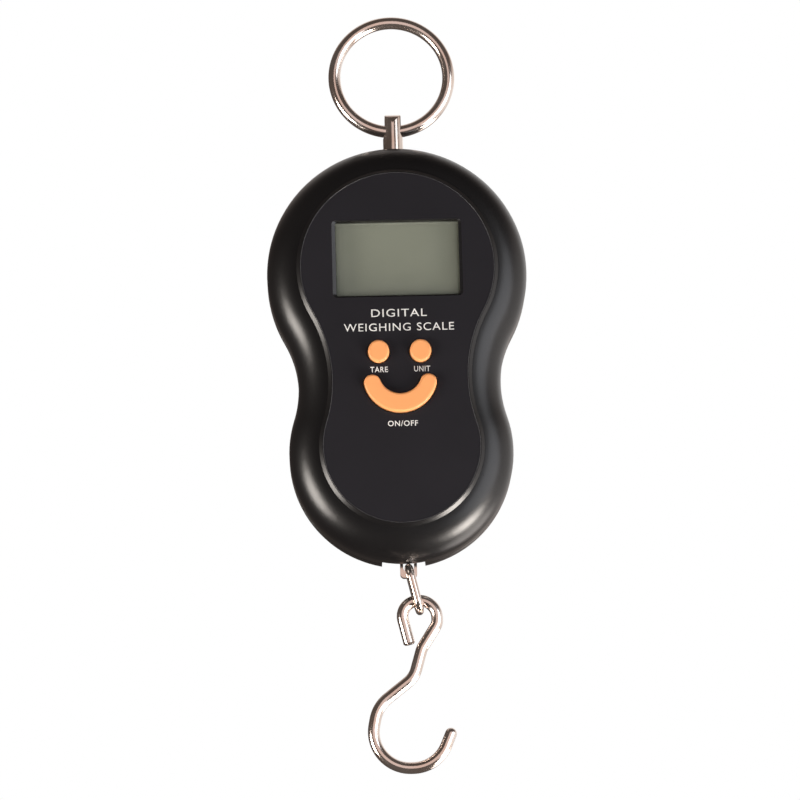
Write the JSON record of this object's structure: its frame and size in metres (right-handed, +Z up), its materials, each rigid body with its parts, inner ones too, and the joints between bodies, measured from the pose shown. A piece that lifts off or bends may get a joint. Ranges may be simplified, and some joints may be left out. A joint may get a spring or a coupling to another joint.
{
  "type": "digital fish scale",
  "caption": "Hanging digital scale: gourd-shaped plastic case with display and push buttons, carry ring on top, link and wire hook below.",
  "frame": {"origin": "inside top of the carry ring, where the scale is hung", "axes": "+Z up along the scale, from the hook to the ring; the display faces -Y; +X is to the right when the display is read"},
  "size_m": [0.072, 0.0304, 0.215],
  "materials": {
    "case_black": "satin moulded ABS",
    "panel_grey": "matt printed film",
    "window_clear": "clear polished acrylic",
    "lcd_green": "liquid crystal cell, switched off",
    "white_plastic": "moulded",
    "silver_film": "diffuse",
    "grey_rubber": "matt",
    "board_green": "solder mask",
    "epoxy_black": "glossy",
    "part_brown": "ceramic and tinned",
    "switch_black": "moulded",
    "button_orange": "satin moulded",
    "nickel": "bright nickel plate",
    "cell_aluminium": "machined",
    "screw_steel": "zinc plated",
    "foil_gold": "etched foil",
    "sealant_white": "cured silicone",
    "wire_red": "insulated",
    "battery_wrap": "printed sleeve",
    "contact_steel": "nickel plated spring steel"
  },
  "bodies": {
    "ring": {"carry_ring": "nickel"},
    "case": {"battery_cells": "battery_wrap", "battery_terminals": "contact_steel", "battery_wires": "wire_red", "board_screws": "screw_steel", "case_screws": "screw_steel", "circuit_board": "board_green", "circuit_parts": "part_brown", "contact_bridge": "contact_steel", "contact_plates": "contact_steel", "contact_springs": "contact_steel", "controller_blob": "epoxy_black", "draw_bar": "nickel", "draw_bar_nut": "screw_steel", "face_panel": "panel_grey", "front_case": "case_black", "gauge_sealant": "sealant_white", "gauge_wires": "wire_red", "lcd_glass": "lcd_green", "lcd_holder": "white_plastic", "lcd_reflector": "silver_film", "lcd_window": "window_clear", "load_cell": "cell_aluminium", "load_cell_screws": "screw_steel", "rear_case": "case_black", "ring_post": "nickel", "ring_post_nut": "screw_steel", "strain_gauges": "foil_gold", "tact_switches": "switch_black", "zebra_strips": "grey_rubber"},
    "door": {"battery_door": "case_black"},
    "link": {"link": "nickel"},
    "hook": {"hook": "nickel"},
    "tare": {"tare_button": "button_orange", "tare_plunger": "switch_black"},
    "unit": {"unit_button": "button_orange", "unit_plunger": "switch_black"},
    "power": {"power_button": "button_orange", "power_plunger": "switch_black"}
  },
  "joints": [
    {"name": "case_swing", "type": "hinge", "parent": "ring", "child": "case", "pos_m": [0, 0, -0.0304], "axis": [1, 0, 0], "range_deg": [-100, 100]},
    {"name": "link_swing", "type": "hinge", "parent": "case", "child": "link", "pos_m": [0.0012, 0, -0.15485], "axis": [0, -1, 0], "range_deg": [-72, 52]},
    {"name": "hook_tilt", "type": "hinge", "parent": "link", "child": "hook", "pos_m": [0.004, 0, -0.1641], "axis": [1, 0, 0], "range_deg": [-75, 75]},
    {"name": "tare_press", "type": "slide", "parent": "case", "child": "tare", "axis": [0, 1, 0], "range_m": [0, 0.0004], "stiffness_N_per_m": 1500, "springref_m": -0.001},
    {"name": "unit_press", "type": "slide", "parent": "case", "child": "unit", "axis": [0, 1, 0], "range_m": [0, 0.0004], "stiffness_N_per_m": 1500, "springref_m": -0.001},
    {"name": "power_press", "type": "slide", "parent": "case", "child": "power", "axis": [0, 1, 0], "range_m": [0, 0.0004], "stiffness_N_per_m": 1500, "springref_m": -0.001},
    {"name": "door_open", "type": "hinge", "parent": "case", "child": "door", "pos_m": [0, 0.0148, -0.13895], "axis": [-1, 0, 0], "range_deg": [0, 75]}
  ]
}
